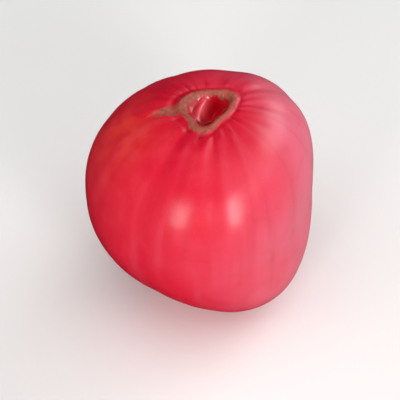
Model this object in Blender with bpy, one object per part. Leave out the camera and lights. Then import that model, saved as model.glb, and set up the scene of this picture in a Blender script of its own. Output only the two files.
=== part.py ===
"""A ripe bull's egg tomato, picked and without its stalk, standing on its blossom end.

The fruit starts as a turned egg. One formula then moves each of its points: lopsided shoulders, soft lobes, a
blossom end that leans to one side, the basin round the stalk scar, the corky rim drawn out to three corners, the
torn pit inside the rim, the crack and the pleats that run out from it, and the small flat that the fruit's own
weight has pressed under it. Lengths are in metres, directions in degrees anticlockwise from +X, and +Z is up.
The origin is on the surface the fruit stands on, below the middle of its box.
"""

import math

import bmesh
import bpy

MM = 0.001

# The turned egg: its widest radius, what stands above and hangs below that, and how square each half is
EGG_RADIUS = 40.3 * MM
SHOULDER_HEIGHT = 42.1 * MM
BASE_HEIGHT = 49.5 * MM
SHOULDER_POWER = 2.55
BASE_POWER = 1.94

# How far the blossom end leans along X and Y, how far the scar sits from the egg's axis, and how a lean sets in
BASE_LEAN = (3.6 * MM, -2.0 * MM)
SCAR_OFFSET = 2.4 * MM
LEAN_POWER = 1.5

# Swellings of the plan, each as lobes round the fruit, share of the radius, direction of the first lobe
SHOULDER_SWELLINGS = ((1, 0.094, -97.0), (2, 0.042, 32.0), (3, 0.034, 42.0), (4, 0.013, 18.0))
BASE_SWELLINGS = ((1, 0.211, -11.0), (2, 0.115, -33.0), (3, 0.090, -32.0))

# Soft lobes with narrow grooves between them
LOBE_COUNT = 11
LOBE_GROOVE_DEPTH = 0.60 * MM
LOBE_GROOVE_SHARE = 0.60
FRONT_GROOVE = -87.0

# The stalk scar: a corky rim with three corners, each as direction, reach and spread
SCAR_RADIUS = 8.0 * MM
SCAR_INNER_REACH = 6.6 * MM
SCAR_CORNERS = ((37.0, 2.9 * MM, 32.0), (186.0, 3.8 * MM, 57.0), (256.0, 4.4 * MM, 25.0))
SCAR_REACH_END = 24.0 * MM
RIM_HEIGHT = 0.7 * MM
RIM_SHARE = 0.13

# The basin round the scar and the crease just outside the rim
BASIN_DEPTH = 2.7 * MM
BASIN_RADIUS = 15.0 * MM
CREASE_DEPTH = 0.55 * MM
CREASE_PLACE = 1.30
CREASE_SHARE = 0.13

# The pit inside the rim, with a fold of flesh beside a deeper cavity, each as centre, direction, length and width
PIT_DEPTH = 2.4 * MM
CAVITY = (0.8 * MM, 1.8 * MM, 52.0, 5.4 * MM, 2.2 * MM)
CAVITY_DEPTH = 5.0 * MM
FOLD = (-3.0 * MM, 1.0 * MM, 70.0, 4.8 * MM, 1.5 * MM)
FOLD_HEIGHT = 2.2 * MM

# Fine pleats that fade out from the rim, as two waves of count, phase in radians and share
PLEATS = ((22, 0.1, 0.6), (19, 1.1, 0.4))
PLEAT_DEPTH = 0.32 * MM
PLEAT_FADE = 8.0 * MM

# The healed crack that leaves the rim's left corner
CRACK_START = 188.0
CRACK_TURN = 4.0
CRACK_LENGTH = 12.0 * MM
CRACK_WIDTH = 1.7 * MM
CRACK_DEPTH = 0.45 * MM

# The flat under the fruit: how much its weight has pressed in, and how softly the skin rolls into it
PRESSED_IN = 2.4 * MM
PRESS_ROLL = 0.5 * MM

# Fineness of the mesh
TURN_STEPS = 92
SCAR_RINGS = (0.15, 0.29, 0.43, 0.57, 0.70, 0.81, 0.91, 1.00, 1.10, 1.28, 1.50, 1.80, 2.20, 2.70)
SHOULDER_STEPS = 10
BASE_STEPS = 13

SKIN_COLOR = (0.72, 0.045, 0.075, 1.0)
SKIN_ROUGHNESS = 0.34


def clear_scene():
    """Take away whatever the file held."""
    for thing in list(bpy.data.objects):
        bpy.data.objects.remove(thing, do_unlink=True)


def bump(distance, width):
    """A round bump: 1 in the middle, almost 0 past two widths."""
    return math.exp(-((distance / width) ** 2))


def ease(value):
    """A soft step from 0 to 1."""
    value = min(max(value, 0.0), 1.0)
    return value * value * (3.0 - 2.0 * value)


def apart(turn, direction):
    """The angle in radians between a turn in radians and a direction in degrees."""
    return math.remainder(turn - math.radians(direction), math.tau)


def egg_profile():
    """The turned outline, from the middle of the scar over the shoulder to the blossom end."""
    points = [(0.0, 0.0, SHOULDER_HEIGHT)]
    for ring in SCAR_RINGS:
        radius = SCAR_RADIUS * ring
        share = (radius / EGG_RADIUS) ** SHOULDER_POWER
        points.append((radius, 0.0, SHOULDER_HEIGHT * (1.0 - share) ** (1.0 / SHOULDER_POWER)))
    first = math.asin((SCAR_RADIUS * SCAR_RINGS[-1] / EGG_RADIUS) ** (SHOULDER_POWER / 2.0))
    for step in range(1, SHOULDER_STEPS + 1):
        angle = first + (math.pi / 2.0 - first) * step / SHOULDER_STEPS
        radius = EGG_RADIUS * math.sin(angle) ** (2.0 / SHOULDER_POWER)
        height = SHOULDER_HEIGHT * abs(math.cos(angle)) ** (2.0 / SHOULDER_POWER)
        points.append((radius, 0.0, height))
    for step in range(1, BASE_STEPS):
        angle = math.pi / 2.0 * (1.0 - step / BASE_STEPS)
        radius = EGG_RADIUS * math.sin(angle) ** (2.0 / BASE_POWER)
        points.append((radius, 0.0, -BASE_HEIGHT * math.cos(angle) ** (2.0 / BASE_POWER)))
    points.append((0.0, 0.0, -BASE_HEIGHT))
    return points


def turned_egg():
    """Spin the outline round the upright axis into one closed body."""
    body = bmesh.new()
    verts = [body.verts.new(point) for point in egg_profile()]
    edges = [body.edges.new(pair) for pair in zip(verts, verts[1:])]
    bmesh.ops.spin(
        body, geom=verts + edges, cent=(0, 0, 0), axis=(0, 0, 1), angle=math.tau, steps=TURN_STEPS, use_merge=True
    )
    bmesh.ops.remove_doubles(body, verts=body.verts, dist=0.01 * MM)
    bmesh.ops.recalc_face_normals(body, faces=body.faces)
    return body


def swelling(turn, swellings):
    """The share of the radius that the plan's swellings add in one direction."""
    return sum(share * math.cos(count * apart(turn, direction)) for count, share, direction in swellings)


def uneven(turn):
    """A turn bent a little, so that what repeats round the fruit isn't regular."""
    return turn + 0.16 * math.sin(2.0 * turn + 0.9) + 0.08 * math.sin(3.0 * turn - 1.1)


def lobe_groove(turn):
    """Almost 1 in the middle of a deep groove between two lobes, less in a shallow one, and 0 on the lobes."""
    phase = uneven(turn) - uneven(math.radians(FRONT_GROOVE))
    deep = 0.65 + 0.35 * math.sin(2.0 * turn - 0.4)
    return deep * bump(math.sin(LOBE_COUNT * phase / 2.0), LOBE_GROOVE_SHARE)


def pleat(turn):
    """Between -1 and 1, round the rim, with pleats of uneven width."""
    return sum(share * math.cos(count * uneven(turn) + phase) for count, phase, share in PLEATS)


def scar_reach(turn):
    """How far the middle of the corky rim stands from the scar's centre in one direction."""
    corners = (reach * bump(apart(turn, at), math.radians(spread)) for at, reach, spread in SCAR_CORNERS)
    return SCAR_INNER_REACH + sum(corners)


def streak(x, y, place):
    """A long soft bump in plan: 1 at the centre of the place, 0 past its length and width."""
    centre_x, centre_y, direction, length, width = place
    along_x = math.cos(math.radians(direction))
    along_y = math.sin(math.radians(direction))
    along = (x - centre_x) * along_x + (y - centre_y) * along_y
    across = (y - centre_y) * along_x - (x - centre_x) * along_y
    return bump(along, length) * bump(across, width)


def crack(turn, radius):
    """1 along the middle of the healed crack, and 0 beside it and past its end."""
    start = SCAR_RADIUS * 1.1
    along = (radius - start) / CRACK_LENGTH
    if not 0.0 <= along <= 1.0:
        return 0.0
    across = radius * apart(turn, CRACK_START + CRACK_TURN * along)
    return bump(across, CRACK_WIDTH * (1.1 - along)) * ease(4.0 * (1.0 - along))


def scar_relief(ring, x, y):
    """Height that the corky rim, the pit and its fold and cavity add; ring is 1 on the rim."""
    height = RIM_HEIGHT * bump(ring - 1.0, RIM_SHARE)
    inside = ease((0.92 - ring) / 0.35)
    height -= inside * PIT_DEPTH
    height -= inside * CAVITY_DEPTH * streak(x, y, CAVITY)
    height += inside * FOLD_HEIGHT * streak(x, y, FOLD)
    return height


def skin_relief(turn, radius, ring, down):
    """How far the skin stands out along its normal: grooves, crease, pleats and crack."""
    outside = ease((ring - 1.1) / 1.2)
    fade = 1.0 - 0.75 * ease(down / 0.6)
    relief = -LOBE_GROOVE_DEPTH * lobe_groove(turn) * outside * fade
    relief -= CREASE_DEPTH * bump(ring - CREASE_PLACE, CREASE_SHARE) * (0.7 + 0.3 * pleat(turn))
    relief += PLEAT_DEPTH * pleat(turn) * ease((ring - 1.05) / 0.3) * bump(ring - 1.0, PLEAT_FADE / SCAR_RADIUS)
    relief -= CRACK_DEPTH * crack(turn, radius)
    return relief


def egg_normal(radius, z):
    """The turned egg's outward normal, as its level and upright parts."""
    half = SHOULDER_HEIGHT if z > 0.0 else BASE_HEIGHT
    power = SHOULDER_POWER if z > 0.0 else BASE_POWER
    level = (radius / EGG_RADIUS) ** (power - 1.0) / EGG_RADIUS
    upright = math.copysign((abs(z) / half) ** (power - 1.0) / half, z)
    length = math.hypot(level, upright)
    return level / length, upright / length


def pressed(height):
    """The height over the ground once the weight has pressed the base flat."""
    height -= PRESSED_IN
    if height > PRESS_ROLL:
        return height
    if height < -PRESS_ROLL:
        return 0.0
    return (height + PRESS_ROLL) ** 2 / (4.0 * PRESS_ROLL)


def shaped(point):
    """Where the fruit has a point of the turned egg, before it is centred."""
    radius = math.hypot(point.x, point.y)
    turn = math.atan2(point.y, point.x)
    up = max(point.z, 0.0) / SHOULDER_HEIGHT
    down = (max(-point.z, 0.0) / BASE_HEIGHT) ** LEAN_POWER
    ring = radius / SCAR_RADIUS if point.z > 0.0 else SCAR_REACH_END / SCAR_RADIUS

    near_scar = 1.0 - ease((ring * SCAR_RADIUS - 1.2 * SCAR_RADIUS) / (SCAR_REACH_END - 1.2 * SCAR_RADIUS))
    plan = 1.0 + (1.0 - near_scar) * swelling(turn, SHOULDER_SWELLINGS) + down * swelling(turn, BASE_SWELLINGS)
    plan += near_scar * (scar_reach(turn) / SCAR_RADIUS - 1.0)

    level, upright = egg_normal(radius, point.z) if radius > 0.0 else (0.0, math.copysign(1.0, point.z))
    relief = skin_relief(turn, radius, ring, down)
    wide = radius * plan + relief * level
    x = wide * math.cos(turn)
    y = wide * math.sin(turn)
    z = point.z + relief * upright
    if point.z > 0.0:
        z += scar_relief(ring, x, y) - BASIN_DEPTH * bump(radius, BASIN_RADIUS)
    x += BASE_LEAN[0] * down + SCAR_OFFSET * up**2
    y += BASE_LEAN[1] * down
    return x, y, pressed(z + BASE_HEIGHT)


def centred(body):
    """Move the fruit so that the middle of its box stands over the origin."""
    for axis in (0, 1):
        places = [vert.co[axis] for vert in body.verts]
        middle = (min(places) + max(places)) / 2.0
        for vert in body.verts:
            vert.co[axis] -= middle


def join_flat(body):
    """Make the pressed flat under the fruit one face."""
    flat = [face for face in body.faces if all(vert.co.z == 0.0 for vert in face.verts)]
    bmesh.ops.dissolve_faces(body, faces=flat, use_verts=False)


def skin_material():
    """Glossy red skin."""
    material = bpy.data.materials.new("tomato_skin")
    material.use_nodes = True
    surface = material.node_tree.nodes["Principled BSDF"]
    surface.inputs["Base Color"].default_value = SKIN_COLOR
    surface.inputs["Roughness"].default_value = SKIN_ROUGHNESS
    surface.inputs["Metallic"].default_value = 0.0
    return material


def make_fruit():
    """The whole fruit, one closed body."""
    body = turned_egg()
    for vert in body.verts:
        vert.co = shaped(vert.co)
    centred(body)
    join_flat(body)
    mesh = bpy.data.meshes.new("fruit")
    body.to_mesh(mesh)
    body.free()
    mesh.shade_smooth()
    mesh.materials.append(skin_material())
    fruit = bpy.data.objects.new("fruit", mesh)
    bpy.context.scene.collection.objects.link(fruit)
    return fruit


def main():
    clear_scene()
    make_fruit()


main()
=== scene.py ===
"""Finished looks of a ripe bull's egg tomato: satin skin, corky stalk scar, torn pit, and a plain studio.

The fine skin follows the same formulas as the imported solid, with the relief that the solid is too coarse
for, and is then fitted to the solid's box. Lengths are in metres, directions in degrees anticlockwise
from +X, and +Z is up.
"""

import math

import bmesh
import bpy
from bpy.props import FloatProperty, FloatVectorProperty, IntProperty, PointerProperty
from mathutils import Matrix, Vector, noise


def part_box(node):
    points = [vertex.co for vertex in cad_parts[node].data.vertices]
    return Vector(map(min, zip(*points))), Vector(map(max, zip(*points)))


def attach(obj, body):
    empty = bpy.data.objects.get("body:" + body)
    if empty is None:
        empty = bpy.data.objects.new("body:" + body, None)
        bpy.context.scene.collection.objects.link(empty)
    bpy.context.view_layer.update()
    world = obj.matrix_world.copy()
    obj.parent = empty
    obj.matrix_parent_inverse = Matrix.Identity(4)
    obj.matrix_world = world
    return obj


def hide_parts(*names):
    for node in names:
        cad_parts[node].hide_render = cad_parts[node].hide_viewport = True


bl_info = {
    "name": "Bull's egg tomato",
    "version": (1, 0, 0),
    "blender": (4, 5, 0),
    "location": "View3D > Sidebar > Tomato",
    "description": "Builds a ripe tomato with its stalk scar, and a plain studio round it",
    "category": "Add Mesh",
}

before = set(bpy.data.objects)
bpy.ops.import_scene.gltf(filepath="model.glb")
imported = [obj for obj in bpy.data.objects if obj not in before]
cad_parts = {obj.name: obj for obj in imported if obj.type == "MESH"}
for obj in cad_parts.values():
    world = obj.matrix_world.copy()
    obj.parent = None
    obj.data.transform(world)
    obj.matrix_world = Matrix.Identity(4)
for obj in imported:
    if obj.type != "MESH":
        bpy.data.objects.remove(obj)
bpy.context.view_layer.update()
FRUIT_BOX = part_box("fruit")

MM = 0.001

# The turned egg and its lean, as in the solid
EGG_RADIUS = 40.3 * MM
SHOULDER_HEIGHT = 42.1 * MM
BASE_HEIGHT = 49.5 * MM
SHOULDER_POWER = 2.55
BASE_POWER = 1.94
BASE_LEAN = (3.6 * MM, -2.0 * MM)
SCAR_OFFSET = 2.4 * MM
LEAN_POWER = 1.5
SHOULDER_SWELLINGS = ((1, 0.094, -97.0), (2, 0.042, 32.0), (3, 0.034, 42.0), (4, 0.013, 18.0))
BASE_SWELLINGS = ((1, 0.211, -11.0), (2, 0.115, -33.0), (3, 0.090, -32.0))

# Waves that keep what repeats round the fruit from being regular, each as count, size and phase in radians
UNEVEN_WAVES = ((2.0, 0.16, 0.9), (3.0, 0.08, -1.1))

# Lobes: how many, how wide their grooves are, how the grooves differ in depth as mean, swing, count and
# phase, where one groove is, where they start in rings of the scar's radius, and how much of them is gone
# how far down
LOBE_COUNT = 11
LOBE_GROOVE_SHARE = 0.60
GROOVE_DEPTHS = (0.65, 0.35, 2.0, -0.4)
FRONT_GROOVE = -87.0
LOBES_FROM = 1.1
LOBES_RISE = 1.2
LOBE_LOSS = 0.75
LOBE_LOSS_PLACE = 0.6

# Scar: its rim's radius on the turned egg, its reach with three corners as direction, length and spread,
# how far round it the plan is bent to follow, its rim, its basin, and the crease outside the rim
SCAR_RADIUS = 8.0 * MM
SCAR_INNER_REACH = 6.6 * MM
SCAR_CORNERS = ((37.0, 2.9 * MM, 32.0), (186.0, 3.8 * MM, 57.0), (256.0, 4.4 * MM, 25.0))
SCAR_BEND_START = 1.2 * SCAR_RADIUS
SCAR_REACH_END = 24.0 * MM
RIM_SHARE = 0.13
BASIN_DEPTH = 2.7 * MM
BASIN_RADIUS = 15.0 * MM
CREASE_DEPTH = 0.55 * MM
CREASE_PLACE = 1.30
CREASE_SHARE = 0.13
CREASE_PLEATED = 0.3

# Pit inside the rim: where it starts and how wide its slope is, in rings, then its cavity and its fold,
# each as centre x and y, direction, length and width
PIT_START = 0.92
PIT_SLOPE = 0.35
CAVITY = (0.8 * MM, 1.8 * MM, 52.0, 5.4 * MM, 2.2 * MM)
CAVITY_DEPTH = 5.0 * MM
FOLD = (-3.0 * MM, 1.0 * MM, 70.0, 4.8 * MM, 1.5 * MM)
FOLD_HEIGHT = 2.2 * MM

# Pleats, each wave as count, phase in radians and share, and where they rise and fade
PLEATS = ((22, 0.1, 0.6), (19, 1.1, 0.4))
PLEATS_FROM = 1.05
PLEATS_RISE = 0.3
PLEAT_FADE = 8.0 * MM

# Healed crack to the left of the rim: its direction and how that turns along it, where it starts, its
# length and width, how it narrows and ends, and its depth
CRACK_START = 188.0
CRACK_TURN = 4.0
CRACK_FROM = 1.1 * SCAR_RADIUS
CRACK_LENGTH = 12.0 * MM
CRACK_WIDTH = 1.7 * MM
CRACK_TAPER = 1.1
CRACK_END_FADE = 4.0
CRACK_DEPTH = 0.45 * MM

# How deep the weight presses the base in, and the height over which its edge rolls off
PRESSED_IN = 2.4 * MM
PRESS_ROLL = 0.5 * MM

# From here on, what only the fine skin has. Noise is given as height, size of its waves and seed. The
# skin's ripples have their height as a share, and the wrinkles have a count and a phase in radians.
SKIN_RIPPLES = ((1.0, 17.0 * MM, 1.0), (0.3, 5.0 * MM, 4.0))
WRINKLES = (61, 0.7)
WRINKLE_PATCHES = (7.0, 0.4)
WRINKLE_SHARE = 0.12
WRINKLE_REACH = 0.4 * PLEAT_FADE

# Cork on the rim: half its width, swellings of the band and shifts towards the pit, each as direction,
# spread and length, then its ragged edge and its outer spurs, whose lengths vary
CORK_HALF_WIDTH = 0.85 * MM
CORK_SWELLS = ((256.0, 30.0, 0.95 * MM), (168.0, 42.0, 0.50 * MM), (42.0, 28.0, 0.55 * MM))
CORK_INWARD = ((170.0, 48.0, 0.90 * MM), (42.0, 28.0, 0.6 * MM))
CORK_EDGE = 0.30 * MM
CORK_RAGGED = ((0.30 * MM, 1.5 * MM, 3.0), (0.15 * MM, 0.6 * MM, 9.0))
CORK_SPUR_COUNT = 17
CORK_SPUR_SHARPNESS = 10
CORK_SPUR_LENGTH = 1.1 * MM
CORK_SPUR_MEAN = 0.6
CORK_SPUR_LENGTHS = ((0.8, 0.4, 6.0),)

# Cork along the healed crack, then the flakes and grains of all the cork, as size of the waves and seed
CORK_TAIL_WIDTH = 2.0 * MM
CORK_TAIL_TAPER = 0.6
CORK_TAIL_FADE = 1.6
CORK_TAIL_RAGGED = ((0.5 * MM, 1.3 * MM, 5.0),)
CORK_FLAKES = (0.9 * MM, 7.0)
CORK_GRAINS = (0.35 * MM, 2.0)
CORK_GRAIN_SHARE = 0.5

# Where the pit's colours lie: its edge in rings, the flush on the fold, and the cavity's fullness
PIT_EDGE = 0.08
FOLD_FLUSH = (-3.3 * MM, 0.8 * MM, 70.0, 5.0 * MM, 1.6 * MM)
CAVITY_FULLNESS = 1.4

# Painted shade beside the rim, and streaks that run out from it, mostly on one side, between places in
# rings: painted shade in the pleats' valleys and painted light on their tops
SHADE_PLACE = CREASE_PLACE - 0.10
SHADE_WIDTH = 0.14
SHADE_PLEATED = 0.65
SHORT_CREASE_SHADE = 0.8
STREAK_SHADE = 0.35
STREAK_START = 1.2
STREAK_RISE = 0.3
STREAK_REACH = 1.7
STREAK_SIDE = -95.0
STREAK_SIDE_SPREAD = 55.0
STREAK_SIDE_SHARE = 0.65
RIDGE_START = 1.4
RIDGE_RISE = 0.8

# Round patches, each as centre x and y and reach: less pink with less painted sheen at the front, pinker
# with painted sheen on the right, an orange tint at the left, a darker patch left of the rim that joins
# the painted shade, and painted shade at the pit's end. Those on the shoulder fade downwards.
LESS_PINK_PATCH = (5.0 * MM, -11.0 * MM, 28.0 * MM)
PALE_PATCH = (28.0 * MM, -3.0 * MM, 12.0 * MM)
WARM_PATCH = (-29.0 * MM, -7.0 * MM, 13.0 * MM)
DUSKY_PATCH = (-14.5 * MM, 7.0 * MM, 8.0 * MM)
DUSKY_SHARE = 0.9
HOLLOW_PATCH = (-1.8 * MM, -4.6 * MM, 2.4 * MM)
SHOULDER_FADE = 1.6

# Short creases outside the rim, each as direction, distance from the scar's centre and length, then their
# width, how many lengths and widths each one reaches, and the ring where they have ended
SHORT_CREASES = (
    (-12.0, 9.2 * MM, 1.0 * MM),
    (-36.0, 10.6 * MM, 1.6 * MM),
    (-62.0, 12.8 * MM, 2.6 * MM),
    (-79.0, 14.4 * MM, 1.6 * MM),
    (-104.0, 14.8 * MM, 1.4 * MM),
    (-125.0, 13.6 * MM, 1.6 * MM),
    (-151.0, 13.2 * MM, 2.4 * MM),
    (38.0, 13.2 * MM, 1.2 * MM),
    (66.0, 13.0 * MM, 2.0 * MM),
    (97.0, 11.4 * MM, 1.8 * MM),
    (130.0, 12.4 * MM, 2.0 * MM),
    (158.0, 12.8 * MM, 1.8 * MM),
)
SHORT_CREASE_WIDTH = 0.75 * MM
SHORT_CREASE_LENGTHS = 2.5
SHORT_CREASE_WIDTHS = 3.0
SHORT_CREASE_END = 2.4


class TomatoShape(bpy.types.PropertyGroup):
    """Sizes of the fruit's relief."""

    groove_depth: FloatProperty(
        name="Groove depth", description="Depth of the grooves between the lobes",
        default=0.6 * MM, unit="LENGTH",
    )
    rim_height: FloatProperty(
        name="Rim height", description="How far the corky rim stands up",
        default=0.7 * MM, unit="LENGTH",
    )
    pit_depth: FloatProperty(
        name="Pit depth", description="Depth of the pit inside the rim",
        default=2.4 * MM, unit="LENGTH",
    )
    pleat_depth: FloatProperty(
        name="Pleat depth", description="Depth of the pleats round the rim",
        default=0.26 * MM, unit="LENGTH",
    )
    crease_depth: FloatProperty(
        name="Crease depth", description="Depth of the short creases round the rim",
        default=0.13 * MM, unit="LENGTH",
    )
    flake_height: FloatProperty(
        name="Cork flakes", description="Roughness of the corky rim",
        default=0.22 * MM, unit="LENGTH",
    )
    ripple_height: FloatProperty(
        name="Skin ripple", description="Height of the skin's soft ripples",
        default=0.16 * MM, unit="LENGTH",
    )
    turn_steps: IntProperty(
        name="Steps round", description="Faces round the fruit",
        default=336, min=24,
    )


class TomatoLook(bpy.types.PropertyGroup):
    """Colours and finish of the skin, the cork and the pit."""

    ripe: FloatVectorProperty(
        name="Ripe red", description="Skin on most of the fruit",
        default=(0.69, 0.006, 0.030), subtype="COLOR",
    )
    # Deep red is also painted shade: on the side where the skin is least pink, towards the left, and in
    # the creases round the rim
    deep: FloatVectorProperty(
        name="Deep red", description="Skin where it ripened most",
        default=(0.49, 0.003, 0.020), subtype="COLOR",
    )
    # Pink that is partly uneven ripeness and partly painted sheen towards the right and upwards; also the
    # tint of the paler mottle, streaks and flecks, and of the painted light on the pleats' tops
    blush_and_sheen: FloatVectorProperty(
        name="Pink blush", description="Paler skin on one side",
        default=(0.72, 0.102, 0.172), subtype="COLOR",
    )
    cork: FloatVectorProperty(
        name="Cork", description="The scar's corky rim",
        default=(0.43, 0.082, 0.054), subtype="COLOR",
    )
    cork_dark: FloatVectorProperty(
        name="Dark cork", description="Cracks in the cork",
        default=(0.23, 0.060, 0.036), subtype="COLOR",
    )
    pit: FloatVectorProperty(
        name="Pit red", description="Wet flesh inside the rim",
        default=(0.48, 0.006, 0.016), subtype="COLOR",
    )
    cavity: FloatVectorProperty(
        name="Cavity red", description="The darkest flesh, deep in the pit",
        default=(0.56, 0.001, 0.010), subtype="COLOR",
    )
    warm: FloatVectorProperty(
        name="Warm red", description="The less ripe patch at the left",
        default=(0.80, 0.050, 0.030), subtype="COLOR",
    )
    hollow: FloatVectorProperty(
        name="Hollow red", description="The shaded end of the pit",
        default=(0.20, 0.003, 0.004), subtype="COLOR",
    )
    fold: FloatVectorProperty(
        name="Fold pink", description="The fold of flesh in the pit",
        default=(0.90, 0.110, 0.140), subtype="COLOR",
    )
    skin_roughness: FloatProperty(
        name="Skin roughness", description="0 is a mirror, 1 is chalk",
        default=0.32, min=0.0, max=1.0,
    )


class TomatoStage(bpy.types.PropertyGroup):
    """The studio: camera, lights and floor."""

    camera_height: FloatProperty(
        name="Camera elevation", description="Above the level",
        default=math.radians(48.0), subtype="ANGLE",
    )
    camera_distance: FloatProperty(
        name="Camera distance", description="From the fruit's middle",
        default=0.56, unit="LENGTH",
    )
    frame_fill: FloatProperty(
        name="Frame fill", description="Share of the picture's width that the fruit takes",
        default=0.57,
    )
    window_power: FloatProperty(
        name="Window power", description="Of the brighter soft box",
        default=4.3, unit="POWER",
    )
    room_light: FloatProperty(
        name="Room light", description="Strength of the light from the right",
        default=0.45,
    )
    room_shade: FloatProperty(
        name="Room shade", description="Strength of the light from the left",
        default=0.0,
    )
    floor: FloatVectorProperty(
        name="Floor", description="Colour of the floor and its sweep",
        default=(0.92, 0.92, 0.91), subtype="COLOR",
    )


# What the mesh tells the material, each from 0 to 1
MASKS = ("cork", "pit", "fold", "cavity", "hollow", "crease", "pleat_top_light", "less_pink", "pale", "warm")

# Grain that stretches the streaks down the fruit: its scale round it, and to a metre upwards
GRAIN_ROUND = 16.0
GRAIN_UPWARDS = 40.0

# Steps of the outline over the scar, the shoulder and the base, and how near two points are made one
PROFILE_STEPS = (112, 80, 82)
MERGE_DISTANCE = 0.001 * MM


def bump(distance, width):
    """A round bump: 1 in the middle, almost 0 past two widths."""
    return math.exp(-((distance / width) ** 2))


def ease(value):
    """A soft step from 0 to 1."""
    value = min(max(value, 0.0), 1.0)
    return value * value * (3.0 - 2.0 * value)


def apart(turn, direction):
    """The angle in radians between a turn in radians and a direction in degrees."""
    return math.remainder(turn - math.radians(direction), math.tau)


def ripple(point, size, seed):
    """Smooth noise from about -1 to 1, with waves of the given size."""
    return noise.noise(Vector((point[0] / size + seed, point[1] / size - seed, point[2] / size)))


def ripples(point, waves):
    """The sum of smooth noises, each given as height, size and seed."""
    return sum(height * ripple(point, size, seed) for height, size, seed in waves)


def partly(share, value):
    """A factor of which the given share follows a value and the rest stays; 1 where the value is 1."""
    return (1.0 - share) + share * value


def sides(turn, places):
    """The sum of round bumps over the turn, each given as direction, spread and height."""
    return sum(height * bump(apart(turn, at), math.radians(spread)) for at, spread, height in places)


def patch(x, y, place):
    """A round soft patch in plan: 1 at the centre of the place, almost 0 past two reaches."""
    return bump(math.hypot(x - place[0], y - place[1]), place[2])


def egg_profile(steps):
    """The turned outline, from the middle of the scar over the shoulder to the blossom end."""
    scar_steps, shoulder_steps, base_steps = steps
    points = []
    for step in range(scar_steps + 1):
        radius = SCAR_REACH_END * step / scar_steps
        share = (radius / EGG_RADIUS) ** SHOULDER_POWER
        points.append((radius, 0.0, SHOULDER_HEIGHT * (1.0 - share) ** (1.0 / SHOULDER_POWER)))
    first = math.asin((SCAR_REACH_END / EGG_RADIUS) ** (SHOULDER_POWER / 2.0))
    for step in range(1, shoulder_steps + 1):
        angle = first + (math.pi / 2.0 - first) * step / shoulder_steps
        radius = EGG_RADIUS * math.sin(angle) ** (2.0 / SHOULDER_POWER)
        points.append((radius, 0.0, SHOULDER_HEIGHT * abs(math.cos(angle)) ** (2.0 / SHOULDER_POWER)))
    for step in range(1, base_steps):
        angle = math.pi / 2.0 * (1.0 - step / base_steps)
        radius = EGG_RADIUS * math.sin(angle) ** (2.0 / BASE_POWER)
        points.append((radius, 0.0, -BASE_HEIGHT * math.cos(angle) ** (2.0 / BASE_POWER)))
    points.append((0.0, 0.0, -BASE_HEIGHT))
    return points


def turned(outline, steps):
    """Spin an outline round the upright axis into one closed body."""
    body = bmesh.new()
    verts = [body.verts.new(point) for point in outline]
    edges = [body.edges.new(pair) for pair in zip(verts, verts[1:])]
    whole_turn = dict(cent=(0, 0, 0), axis=(0, 0, 1), angle=math.tau, steps=steps, use_merge=True)
    bmesh.ops.spin(body, geom=verts + edges, **whole_turn)
    bmesh.ops.remove_doubles(body, verts=body.verts, dist=MERGE_DISTANCE)
    bmesh.ops.recalc_face_normals(body, faces=body.faces)
    return body


def swelling(turn, waves):
    """The share of the radius that the plan's swellings add in one direction."""
    return sum(share * math.cos(count * apart(turn, direction)) for count, share, direction in waves)


def uneven(turn):
    """A turn bent a little, so that what repeats round the fruit isn't regular."""
    return turn + sum(size * math.sin(count * turn + phase) for count, size, phase in UNEVEN_WAVES)


def lobe_groove(turn):
    """Almost 1 in the middle of a deep groove between two lobes, less in a shallow one, 0 on the lobes."""
    phase = uneven(turn) - uneven(math.radians(FRONT_GROOVE))
    mean, swing, count, start = GROOVE_DEPTHS
    deep = mean + swing * math.sin(count * turn + start)
    return deep * bump(math.sin(LOBE_COUNT * phase / 2.0), LOBE_GROOVE_SHARE)


def pleat(turn):
    """Between -1 and 1, round the rim, with pleats of uneven width."""
    return sum(share * math.cos(count * uneven(turn) + phase) for count, phase, share in PLEATS)


def wrinkle(turn):
    """Between -1 and 1, round the rim, with the hair-fine wrinkles that lie on the pleats."""
    count, phase = WRINKLES
    patch_count, patch_phase = WRINKLE_PATCHES
    return math.cos(count * uneven(turn) + phase) * math.cos(patch_count * turn + patch_phase)


def scar_reach(turn):
    """How far the middle of the corky rim stands from the scar's centre in one direction."""
    corners = [(direction, spread, reach) for direction, reach, spread in SCAR_CORNERS]
    return SCAR_INNER_REACH + sides(turn, corners)


def streak(x, y, place):
    """A long soft bump in plan: 1 at the centre of the place, 0 past its length and width."""
    centre_x, centre_y, direction, length, width = place
    along_x = math.cos(math.radians(direction))
    along_y = math.sin(math.radians(direction))
    along = (x - centre_x) * along_x + (y - centre_y) * along_y
    across = (y - centre_y) * along_x - (x - centre_x) * along_y
    return bump(along, length) * bump(across, width)


def crack(turn, radius):
    """1 along the middle of the healed crack, and 0 beside it and past its end."""
    along = (radius - CRACK_FROM) / CRACK_LENGTH
    if not 0.0 <= along <= 1.0:
        return 0.0
    across = radius * apart(turn, CRACK_START + CRACK_TURN * along)
    return bump(across, CRACK_WIDTH * (CRACK_TAPER - along)) * ease(CRACK_END_FADE * (1.0 - along))


def egg_normal(radius, z):
    """The turned egg's outward normal, as its level and upright parts."""
    half = SHOULDER_HEIGHT if z > 0.0 else BASE_HEIGHT
    power = SHOULDER_POWER if z > 0.0 else BASE_POWER
    level = (radius / EGG_RADIUS) ** (power - 1.0) / EGG_RADIUS
    upright = math.copysign((abs(z) / half) ** (power - 1.0) / half, z)
    length = math.hypot(level, upright)
    return level / length, upright / length


def pressed(height):
    """The height over the ground once the weight has pressed the base flat."""
    height -= PRESSED_IN
    if height > PRESS_ROLL:
        return height
    if height < -PRESS_ROLL:
        return 0.0
    return (height + PRESS_ROLL) ** 2 / (4.0 * PRESS_ROLL)


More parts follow.
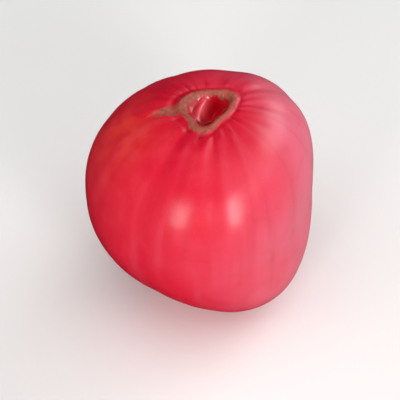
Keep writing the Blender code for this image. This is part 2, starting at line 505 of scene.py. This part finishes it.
def cork_cover(turn, ring, radius, point):
    """1 where the skin is cork: on the rim with its outer spurs, and along the healed crack."""
    half = CORK_HALF_WIDTH + sides(turn, CORK_SWELLS) + ripples(point, CORK_RAGGED)
    if ring > 1.0:
        spur = max(math.cos(CORK_SPUR_COUNT * uneven(turn) / 2.0), 0.0) ** CORK_SPUR_SHARPNESS
        half += CORK_SPUR_LENGTH * spur * (CORK_SPUR_MEAN + ripples((turn, 0.0, 0.0), CORK_SPUR_LENGTHS))
    off_middle = abs((ring - 1.0) * scar_reach(turn) + sides(turn, CORK_INWARD))
    on_rim = 1.0 - ease((off_middle - half) / CORK_EDGE)
    along = (radius - SCAR_RADIUS) / CRACK_LENGTH
    if not 0.0 < along < 1.0:
        return on_rim
    across = abs(radius * apart(turn, CRACK_START + CRACK_TURN * along)) + ripples(point, CORK_TAIL_RAGGED)
    past_edge = (across - CORK_TAIL_WIDTH * (1.0 - CORK_TAIL_TAPER * along)) / (2.0 * CORK_EDGE)
    on_tail = 1.0 - ease(past_edge + 0.5)
    return max(on_rim, on_tail * ease(CORK_TAIL_FADE * (1.0 - along)))


def short_crease(x, y):
    """1 along the middle of the short creases outside the rim, and 0 beside them."""
    depth = 0.0
    for direction, distance, length in SHORT_CREASES:
        along_x = math.cos(math.radians(direction))
        along_y = math.sin(math.radians(direction))
        along = x * along_x + y * along_y - distance
        across = y * along_x - x * along_y
        in_length = abs(along) < SHORT_CREASE_LENGTHS * length
        if in_length and abs(across) < SHORT_CREASE_WIDTHS * SHORT_CREASE_WIDTH:
            depth += bump(along, length) * bump(across, SHORT_CREASE_WIDTH)
    return min(depth, 1.0)


def skin_relief(shape, turn, radius, ring, down, point):
    """How far the skin stands out along its normal: grooves, crease, pleats, wrinkles, crack, ripples."""
    outside = ease((ring - LOBES_FROM) / LOBES_RISE)
    left_over = 1.0 - LOBE_LOSS * ease(down / LOBE_LOSS_PLACE)
    near_rim = ease((ring - PLEATS_FROM) / PLEATS_RISE)
    pleats = pleat(turn) * near_rim * bump(ring - 1.0, PLEAT_FADE / SCAR_RADIUS)
    wrinkles = WRINKLE_SHARE * wrinkle(turn) * near_rim * bump(ring - 1.0, WRINKLE_REACH / SCAR_RADIUS)
    relief = -shape.groove_depth * lobe_groove(turn) * outside * left_over
    relief -= CREASE_DEPTH * bump(ring - CREASE_PLACE, CREASE_SHARE) * partly(CREASE_PLEATED, pleat(turn))
    relief += shape.pleat_depth * (pleats + wrinkles)
    relief -= CRACK_DEPTH * crack(turn, radius)
    relief += shape.ripple_height * ripples(point, SKIN_RIPPLES) * outside
    return relief


def scar_relief(shape, ring, x, y, cork):
    """Height that the corky rim, its flakes, the pit, its fold and its cavity add; ring 1 is the rim."""
    height = shape.rim_height * bump(ring - 1.0, RIM_SHARE)
    inside = ease((PIT_START - ring) / PIT_SLOPE)
    height -= inside * shape.pit_depth
    height -= inside * CAVITY_DEPTH * streak(x, y, CAVITY)
    height += inside * FOLD_HEIGHT * streak(x, y, FOLD)
    flakes = abs(ripple((x, y, 0.0), *CORK_FLAKES)) + CORK_GRAIN_SHARE * ripple((x, y, 0.0), *CORK_GRAINS)
    height += cork * shape.flake_height * flakes
    return height


def top_masks(turn, ring, up, x, y, creased):
    """What the skin of the upper half is like at a place, apart from its cork, by the masks' names."""
    pit = ease((PIT_START - ring) / PIT_EDGE)
    valley, top = max(-pleat(turn), 0.0), max(pleat(turn), 0.0)
    streaked = ease((ring - STREAK_START) / STREAK_RISE) * bump(ring - STREAK_START, STREAK_REACH)
    on_side = bump(apart(turn, STREAK_SIDE), math.radians(STREAK_SIDE_SPREAD))
    streaked *= partly(STREAK_SIDE_SHARE, on_side)
    # Painted shade beside the rim, in the short creases, in the pleats' valleys and on the darker patch
    # left of the rim
    crease = bump(ring - SHADE_PLACE, SHADE_WIDTH) * partly(SHADE_PLEATED, valley)
    crease += SHORT_CREASE_SHADE * creased + STREAK_SHADE * valley * streaked
    crease += DUSKY_SHARE * patch(x, y, DUSKY_PATCH)
    shoulder = ease(SHOULDER_FADE * up)
    return {
        "pit": pit,
        "fold": pit * streak(x, y, FOLD_FLUSH),
        "cavity": pit * min(CAVITY_FULLNESS * streak(x, y, CAVITY), 1.0),
        "hollow": pit * patch(x, y, HOLLOW_PATCH),
        "crease": min(crease, 1.0),
        # The pleats' tops get painted light
        "pleat_top_light": top**2 * streaked * ease((ring - RIDGE_START) / RIDGE_RISE),
        # Less pink at the front and pinker on the right shape the painted sheen; the warm patch is an
        # orange tint
        "less_pink": shoulder * patch(x, y, LESS_PINK_PATCH),
        "pale": shoulder * patch(x, y, PALE_PATCH),
        "warm": shoulder * patch(x, y, WARM_PATCH),
    }


def shaped(shape, point):
    """Where the fruit has a point of the turned egg, what the skin is like there, and its grain."""
    radius = math.hypot(point.x, point.y)
    turn = math.atan2(point.y, point.x)
    up = max(point.z, 0.0) / SHOULDER_HEIGHT
    down = (max(-point.z, 0.0) / BASE_HEIGHT) ** LEAN_POWER
    on_top = point.z > 0.0
    ring = radius / SCAR_RADIUS if on_top else SCAR_REACH_END / SCAR_RADIUS

    bend_end = SCAR_REACH_END - SCAR_BEND_START
    near_scar = 1.0 - ease((ring * SCAR_RADIUS - SCAR_BEND_START) / bend_end)
    plan = 1.0 + (1.0 - near_scar) * swelling(turn, SHOULDER_SWELLINGS)
    plan += down * swelling(turn, BASE_SWELLINGS)
    plan += near_scar * (scar_reach(turn) / SCAR_RADIUS - 1.0)

    level, upright = egg_normal(radius, point.z) if radius > 0.0 else (0.0, math.copysign(1.0, point.z))
    relief = skin_relief(shape, turn, radius, ring, down, point)
    wide = radius * plan + relief * level
    x = wide * math.cos(turn)
    y = wide * math.sin(turn)
    z = point.z + relief * upright
    marks = dict.fromkeys(MASKS, 0.0)
    if on_top:
        cork = cork_cover(turn, ring, radius, (x, y, point.z))
        z += scar_relief(shape, ring, x, y, cork) - BASIN_DEPTH * bump(radius, BASIN_RADIUS)
        creased = short_crease(x, y) if ring < SHORT_CREASE_END else 0.0
        z -= shape.crease_depth * creased
        marks.update(top_masks(turn, ring, up, x, y, creased), cork=cork)
    x += BASE_LEAN[0] * down + SCAR_OFFSET * up**2
    y += BASE_LEAN[1] * down
    grain = (GRAIN_ROUND * math.cos(turn), GRAIN_ROUND * math.sin(turn), GRAIN_UPWARDS * point.z)
    return (x, y, pressed(z + BASE_HEIGHT)), marks, grain


def fitted(body, box):
    """Fit the body to a box, so that it takes the same room as the solid that it stands for."""
    for axis in range(3):
        places = [vert.co[axis] for vert in body.verts]
        low, high = min(places), max(places)
        scale = (box[1][axis] - box[0][axis]) / (high - low)
        for vert in body.verts:
            vert.co[axis] = box[0][axis] + (vert.co[axis] - low) * scale


# Where a mix node for colours has its factor, its two colours and its result
MIX_FACTOR = 0
MIX_COLOURS = (6, 7)
MIX_RESULT = 2


def add_node(tree, kind, label, **settings):
    """A shader node with its label and its settings."""
    node = tree.nodes.new(kind)
    node.label = label
    for name, value in settings.items():
        setattr(node, name, value)
    return node


def mask_named(tree, name):
    """The mask that the mesh carries under a name."""
    return add_node(tree, "ShaderNodeAttribute", name, attribute_name=name).outputs["Fac"]


def calculated(tree, operation, first, second, clamp=False):
    """The sum, product or other result of two values, each a socket or a number."""
    node = add_node(tree, "ShaderNodeMath", operation.lower(), operation=operation, use_clamp=clamp)
    for socket, value in zip(node.inputs, (first, second)):
        if isinstance(value, bpy.types.NodeSocket):
            tree.links.new(value, socket)
        else:
            socket.default_value = value
    return node.outputs[0]


def ranged(tree, value, numbers):
    """A value taken from one range to another, and held inside it; the numbers are both ranges' ends."""
    node = add_node(tree, "ShaderNodeMapRange", "range", interpolation_type="SMOOTHSTEP")
    for name, number in zip(("From Min", "From Max", "To Min", "To Max"), numbers):
        node.inputs[name].default_value = number
    tree.links.new(value, node.inputs["Value"])
    return node.outputs["Result"]


def mixed(tree, factor, first, second, label):
    """Two colours mixed by a factor; each colour is a socket or three numbers."""
    node = add_node(tree, "ShaderNodeMix", label, data_type="RGBA")
    tree.links.new(factor, node.inputs[MIX_FACTOR])
    for place, colour in zip(MIX_COLOURS, (first, second)):
        if isinstance(colour, bpy.types.NodeSocket):
            tree.links.new(colour, node.inputs[place])
        else:
            node.inputs[place].default_value = (*colour, 1.0)
    return node.outputs[MIX_RESULT]


def patches(tree, vector, waves, label):
    """Smooth noise; waves are its scale and its levels of detail."""
    node = add_node(tree, "ShaderNodeTexNoise", label)
    node.inputs["Scale"].default_value, node.inputs["Detail"].default_value = waves
    tree.links.new(vector, node.inputs["Vector"])
    return node.outputs["Fac"]


# Noise in the materials, each as waves to a metre, or to a unit of the grain, and levels of detail
RIPENESS_NOISE = (38.0, 2.0)
MOTTLE_NOISE = (150.0, 3.0)
STREAK_NOISE = (0.5, 1.0)
CORK_NOISE = (800.0, 4.0)
FINE_NOISE = (900.0, 2.0)
CORK_RELIEF_NOISE = (2200.0, 3.0)
FLOOR_NOISE = (9.0, 2.0)
FLECKS_TO_A_METRE = 520.0

# What makes the skin pinker: its uneven ripeness, painted sheen that grows each metre along an axis,
# towards the right and upwards, and the masks for patches that shape it
BLUSH_UNEVEN = 0.5
PAINTED_SHEEN_SLOPES = (("X", 13.2), ("Z", 4.5))
SHEEN_PATCH_SHARES = (("less_pink", -0.55), ("pale", 0.30))

# Ranges of a value and how much of a colour they give, each as first value, last value, share at the
# first and share at the last
BLUSH_AND_SHEEN_RANGE = (0.24, 1.18, 0.0, 1.0)
# The shade side's range paints shade where the skin is least pink, towards the left
SHADE_SIDE_RANGE = (0.20, -0.35, 0.0, 0.6)
PALER_RANGE = (-0.25, 0.35, 0.0, 1.0)
WARM_RANGE = (0.38, 0.62, 0.25, 0.8)
PALE_MOTTLE_RANGE = (0.52, 0.72, 0.0, 0.10)
DEEP_MOTTLE_RANGE = (0.46, 0.28, 0.0, 0.16)
PALE_STREAK_RANGE = (0.50, 0.75, 0.0, 0.18)
DEEP_STREAK_RANGE = (0.46, 0.25, 0.0, 0.20)
FLECK_RANGE = (0.22, 0.08, 0.0, 0.16)
CORK_RANGE = (0.32, 0.60, 0.0, 1.0)
# Painted light on the pleats' tops, and painted shade in the creases, each as the share of its colour
PLEAT_TOP_LIGHT = 0.30
CREASE_SHADE = 0.8

# Finish: how much each mask or noise changes the roughness, the gloss, the flesh's glow and the bumps
FINE_ROUGHNESS = 0.10
PIT_SMOOTHER = 0.12
CORK_ROUGHER = 0.45
PIT_COAT = 0.25
PIT_COAT_ROUGHNESS = 0.14
SKIN_IOR = 1.57
GLOW_SHARE = 0.10
GLOW_RADIUS = (1.0, 0.25, 0.15)
GLOW_DEPTH = 4.0 * MM
FINE_BUMPS = 0.10
BUMP_STRENGTH = 0.6
BUMP_HEIGHT = 0.12 * MM


def blush_and_sheen_level(tree, place, masks):
    """How pink the skin is: uneven ripeness, and painted sheen that is higher towards the right and
    upwards.
    """
    split = add_node(tree, "ShaderNodeSeparateXYZ", "place")
    tree.links.new(place, split.inputs[0])
    uneven_ripe = patches(tree, place, RIPENESS_NOISE, "uneven ripeness")
    blush_and_sheen = calculated(tree, "MULTIPLY", uneven_ripe, BLUSH_UNEVEN)
    shares = [(split.outputs[axis], slope) for axis, slope in PAINTED_SHEEN_SLOPES]
    shares += [(masks[name], share) for name, share in SHEEN_PATCH_SHARES]
    for value, share in shares:
        blush_and_sheen = calculated(tree, "ADD", blush_and_sheen, calculated(tree, "MULTIPLY", value, share))
    return blush_and_sheen


def skin_colour(tree, look, place, grain, masks):
    """Ripe red with deeper and paler patches, streaks along the lobes, flecks, and shade in creases."""
    def times(first, second):
        return calculated(tree, "MULTIPLY", first, second)

    blush_and_sheen = blush_and_sheen_level(tree, place, masks)
    # Pinker towards the right and upwards: uneven ripeness with painted sheen
    colour = mixed(tree, ranged(tree, blush_and_sheen, BLUSH_AND_SHEEN_RANGE), look.ripe, look.blush_and_sheen, "blush side")
    # Darker where the skin is least pink, towards the left: painted shade
    colour = mixed(tree, ranged(tree, blush_and_sheen, SHADE_SIDE_RANGE), colour, look.deep, "painted shade side")

    paler = ranged(tree, blush_and_sheen, PALER_RANGE)
    mottle = patches(tree, place, MOTTLE_NOISE, "mottle")
    streaks = patches(tree, grain, STREAK_NOISE, "streaks")
    flecks = add_node(tree, "ShaderNodeTexVoronoi", "flecks")
    flecks.inputs["Scale"].default_value = FLECKS_TO_A_METRE
    tree.links.new(place, flecks.inputs["Vector"])
    for share, tint, label in (
        (times(masks["warm"], ranged(tree, mottle, WARM_RANGE)), look.warm, "warm patch"),
        (times(ranged(tree, mottle, PALE_MOTTLE_RANGE), paler), look.blush_and_sheen, "pale mottle"),
        (ranged(tree, mottle, DEEP_MOTTLE_RANGE), look.deep, "deep mottle"),
        (times(ranged(tree, streaks, PALE_STREAK_RANGE), paler), look.blush_and_sheen, "pale streaks"),
        (ranged(tree, streaks, DEEP_STREAK_RANGE), look.deep, "deep streaks"),
        # Painted light on the pleats' tops, and below it painted shade in the creases
        (times(masks["pleat_top_light"], PLEAT_TOP_LIGHT), look.blush_and_sheen, "painted light on pleat tops"),
        (times(ranged(tree, flecks.outputs["Distance"], FLECK_RANGE), paler), look.blush_and_sheen, "flecks"),
        (times(masks["crease"], CREASE_SHADE), look.deep, "shade in creases"),
    ):
        colour = mixed(tree, share, colour, tint, label)
    return colour


def cork_colour(tree, look, place):
    """Tan cork with darker cracks."""
    grains = patches(tree, place, CORK_NOISE, "cork grains")
    return mixed(tree, ranged(tree, grains, CORK_RANGE), look.cork_dark, look.cork, "cork")


def fruit_finish(tree, look, place, masks, surface):
    """Satin skin, dry cork and wet pit, with fine bumps on the skin and coarser ones on the cork."""
    fine = patches(tree, place, FINE_NOISE, "fine skin")
    rough = calculated(tree, "MULTIPLY", fine, FINE_ROUGHNESS)
    rough = calculated(tree, "ADD", rough, look.skin_roughness - FINE_ROUGHNESS / 2.0)
    rough = calculated(tree, "SUBTRACT", rough, calculated(tree, "MULTIPLY", masks["pit"], PIT_SMOOTHER))
    dry = calculated(tree, "MULTIPLY", masks["cork"], CORK_ROUGHER)
    rough = calculated(tree, "ADD", rough, dry, clamp=True)
    tree.links.new(rough, surface.inputs["Roughness"])
    tree.links.new(calculated(tree, "MULTIPLY", masks["pit"], PIT_COAT), surface.inputs["Coat Weight"])
    surface.inputs["Coat Roughness"].default_value = PIT_COAT_ROUGHNESS
    surface.inputs["IOR"].default_value = SKIN_IOR
    surface.inputs["Subsurface Weight"].default_value = GLOW_SHARE
    surface.inputs["Subsurface Radius"].default_value = GLOW_RADIUS
    surface.inputs["Subsurface Scale"].default_value = GLOW_DEPTH

    coarse = patches(tree, place, CORK_RELIEF_NOISE, "cork relief")
    coarse = calculated(tree, "MULTIPLY", coarse, masks["cork"])
    height = calculated(tree, "ADD", calculated(tree, "MULTIPLY", fine, FINE_BUMPS), coarse)
    relief = add_node(tree, "ShaderNodeBump", "skin and cork relief")
    relief.inputs["Strength"].default_value = BUMP_STRENGTH
    relief.inputs["Distance"].default_value = BUMP_HEIGHT
    tree.links.new(height, relief.inputs["Height"])
    tree.links.new(relief.outputs["Normal"], surface.inputs["Normal"])


def fruit_material(look):
    """One material for the whole fruit: skin, cork and pit are told apart by the mesh's masks."""
    material = bpy.data.materials.new("ripe_tomato_skin")
    material.use_nodes = True
    tree = material.node_tree
    surface = tree.nodes["Principled BSDF"]
    place = add_node(tree, "ShaderNodeTexCoord", "place").outputs["Object"]
    grain = add_node(tree, "ShaderNodeAttribute", "grain", attribute_name="grain").outputs["Vector"]
    masks = {name: mask_named(tree, name) for name in MASKS}

    wet = look.pit
    for name in ("cavity", "fold", "hollow"):
        wet = mixed(tree, masks[name], wet, getattr(look, name), name)
    colour = skin_colour(tree, look, place, grain, masks)
    colour = mixed(tree, masks["pit"], colour, wet, "pit")
    colour = mixed(tree, masks["cork"], colour, cork_colour(tree, look, place), "cork")
    tree.links.new(colour, surface.inputs["Base Color"])
    fruit_finish(tree, look, place, masks, surface)
    return material


def floor_material(stage):
    """Matt pale floor with a barely uneven tone."""
    material = bpy.data.materials.new("pale_floor")
    material.use_nodes = True
    tree = material.node_tree
    surface = tree.nodes["Principled BSDF"]
    place = add_node(tree, "ShaderNodeTexCoord", "place").outputs["Object"]
    tone = patches(tree, place, FLOOR_NOISE, "tone")
    darker = tuple(FLOOR_SHADE * part for part in stage.floor)
    colour = mixed(tree, tone, darker, stage.floor, "floor tone")
    tree.links.new(colour, surface.inputs["Base Color"])
    surface.inputs["Roughness"].default_value = FLOOR_ROUGHNESS
    return material


def linked_object(name, data):
    """An object in the scene, at the origin."""
    thing = bpy.data.objects.new(name, data)
    bpy.context.scene.collection.objects.link(thing)
    return thing


class TOMATO_OT_fruit(bpy.types.Operator):
    """Build the fruit's fine skin with its scar and pit, in place of the plain solid"""

    bl_idname = "tomato.fruit"
    bl_label = "Build fruit"

    def execute(self, context):
        shape = context.scene.tomato_shape
        body = turned(egg_profile(PROFILE_STEPS), shape.turn_steps)
        layers = {name: body.verts.layers.float.new(name) for name in MASKS}
        grain_layer = body.verts.layers.float_vector.new("grain")
        for vert in body.verts:
            vert.co, marks, grain = shaped(shape, vert.co)
            for name, layer in layers.items():
                vert[layer] = marks[name]
            vert[grain_layer] = Vector(grain)
        fitted(body, FRUIT_BOX)
        mesh = bpy.data.meshes.new("tomato_fruit")
        body.to_mesh(mesh)
        body.free()
        mesh.shade_smooth()
        mesh.materials.append(fruit_material(context.scene.tomato_look))
        fruit = linked_object("tomato_fruit", mesh)
        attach(fruit, "root")
        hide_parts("fruit")
        return {"FINISHED"}


# Floor: the radius of its level part, the radius of the curve in which its rim rises, the steps of that
# curve and of the turn, and its finish
FLOOR_RADIUS = 1.6
SWEEP_RADIUS = 1.2
SWEEP_STEPS = 16
FLOOR_TURN_STEPS = 96
FLOOR_SHADE = 0.97
FLOOR_ROUGHNESS = 0.75

# From which to which value of a direction's X part the room goes from its shade to its light
ROOM_TURN = (0.05, 0.50)

# Sensor's width in its usual millimetres, and the nearest and farthest that the camera sees
SENSOR_WIDTH = 36.0
CLIP = (0.01, 20.0)

# Soft lights, each as name, direction, height in degrees, distance, width and height in metres, share of
# the window's power, and whether it shows in the gloss
SOFT_BOXES = (
    ("right_window", -60.0, 17.0, 1.1, (0.24, 0.72), 1.25, True),
    ("left_window", -117.0, 14.0, 1.1, (0.20, 0.62), 0.78, True),
    ("front_panel", -88.0, 12.0, 1.3, (1.0, 0.58), 0.15, True),
    ("right_panel", -15.0, 30.0, 1.3, (0.9, 0.7), 0.32, True),
    ("right_back_panel", 35.0, 30.0, 1.3, (0.9, 0.7), 1.05, True),
    ("left_panel", -165.0, 30.0, 1.3, (0.9, 0.7), 0.56, False),
    ("front_ceiling", -75.0, 62.0, 1.5, (1.2, 0.9), 0.10, False),
    ("ceiling", -90.0, 82.0, 1.6, (1.6, 1.4), 3.2, False),
)


def soft_box(name, direction, height, distance, size, power, target, glints):
    """A rectangular soft light that looks at the target from a direction and a height in degrees."""
    data = bpy.data.lights.new(name, "AREA")
    data.shape = "RECTANGLE"
    data.size, data.size_y = size
    data.energy = power
    light = linked_object(name, data)
    turn, lift = math.radians(direction), math.radians(height)
    away = Vector((math.cos(turn) * math.cos(lift), math.sin(turn) * math.cos(lift), math.sin(lift)))
    light.location = target + distance * away
    light.rotation_mode = "QUATERNION"
    light.rotation_quaternion = away.to_track_quat("Z", "Y")
    light.visible_camera = False
    light.visible_glossy = glints


def floor_sweep(stage):
    """A round floor whose rim rises in a wide curve, so that no horizon shows."""
    outline = [(0.0, 0.0, 0.0), (FLOOR_RADIUS, 0.0, 0.0)]
    for step in range(1, SWEEP_STEPS + 1):
        angle = math.pi / 2.0 * step / SWEEP_STEPS
        away = FLOOR_RADIUS + SWEEP_RADIUS * math.sin(angle)
        outline.append((away, 0.0, SWEEP_RADIUS - SWEEP_RADIUS * math.cos(angle)))
    body = turned(outline, FLOOR_TURN_STEPS)
    downwards = [face for face in body.faces if face.normal.z < 0.0]
    bmesh.ops.reverse_faces(body, faces=downwards)
    mesh = bpy.data.meshes.new("studio_floor")
    body.to_mesh(mesh)
    body.free()
    mesh.shade_smooth()
    mesh.materials.append(floor_material(stage))
    floor = linked_object("studio_floor", mesh)
    floor.visible_glossy = False


def studio_room(stage):
    """A plain room that is brighter on the right than on the left."""
    world = bpy.data.worlds.new("studio_room")
    world.use_nodes = True
    tree = world.node_tree
    split = add_node(tree, "ShaderNodeSeparateXYZ", "direction")
    direction = add_node(tree, "ShaderNodeTexCoord", "direction").outputs["Generated"]
    tree.links.new(direction, split.inputs[0])
    background = tree.nodes["Background"]
    background.inputs["Color"].default_value = (1.0, 1.0, 1.0, 1.0)
    strength = ranged(tree, split.outputs["X"], (*ROOM_TURN, stage.room_shade, stage.room_light))
    tree.links.new(strength, background.inputs["Strength"])
    return world


def studio_camera(stage, target):
    """A long lens that sees the fruit from the photograph's angle."""
    data = bpy.data.cameras.new("studio_camera")
    width = (FRUIT_BOX[1].x - FRUIT_BOX[0].x) / stage.frame_fill
    data.sensor_width = SENSOR_WIDTH
    data.lens = data.sensor_width * stage.camera_distance / width
    data.clip_start, data.clip_end = CLIP
    camera = linked_object("studio_camera", data)
    lift = stage.camera_height
    away = Vector((0.0, -math.cos(lift), math.sin(lift)))
    camera.location = target + stage.camera_distance * away
    camera.rotation_mode = "QUATERNION"
    camera.rotation_quaternion = away.to_track_quat("Z", "Y")
    bpy.context.scene.camera = camera


class TOMATO_OT_stage(bpy.types.Operator):
    """Lay a pale floor, set soft lights and aim the camera as in the photograph"""

    bl_idname = "tomato.stage"
    bl_label = "Set stage"

    def execute(self, context):
        stage = context.scene.tomato_stage
        target = (FRUIT_BOX[0] + FRUIT_BOX[1]) / 2.0
        floor_sweep(stage)
        for name, direction, height, distance, size, share, glints in SOFT_BOXES:
            power = share * stage.window_power
            soft_box(name, direction, height, distance, size, power, target, glints)
        context.scene.world = studio_room(stage)
        context.scene.view_settings.view_transform = "Standard"
        studio_camera(stage, target)
        return {"FINISHED"}


class TOMATO_PT_panel(bpy.types.Panel):
    """Sizes, colours and the two steps of the build"""

    bl_idname = "TOMATO_PT_panel"
    bl_label = "Tomato"
    bl_space_type = "VIEW_3D"
    bl_region_type = "UI"
    bl_category = "Tomato"

    def draw(self, context):
        for key, settings in GROUPS.items():
            box = self.layout.box()
            for name in settings.__annotations__:
                box.prop(getattr(context.scene, key), name)
        self.layout.operator("tomato.fruit")
        self.layout.operator("tomato.stage")


CLASSES = (TomatoShape, TomatoLook, TomatoStage, TOMATO_OT_fruit, TOMATO_OT_stage, TOMATO_PT_panel)
GROUPS = {"tomato_shape": TomatoShape, "tomato_look": TomatoLook, "tomato_stage": TomatoStage}


def register():
    """Make the classes known, and give each scene its settings."""
    for cls in CLASSES:
        bpy.utils.register_class(cls)
    for name, group in GROUPS.items():
        setattr(bpy.types.Scene, name, PointerProperty(type=group))


def unregister():
    """Take the settings and the classes away again."""
    for name in GROUPS:
        delattr(bpy.types.Scene, name)
    for cls in reversed(CLASSES):
        bpy.utils.unregister_class(cls)


def main():
    """Build everything in order."""
    register()
    bpy.ops.tomato.stage()
    bpy.ops.tomato.fruit()


if __name__ == "__main__":
    main()
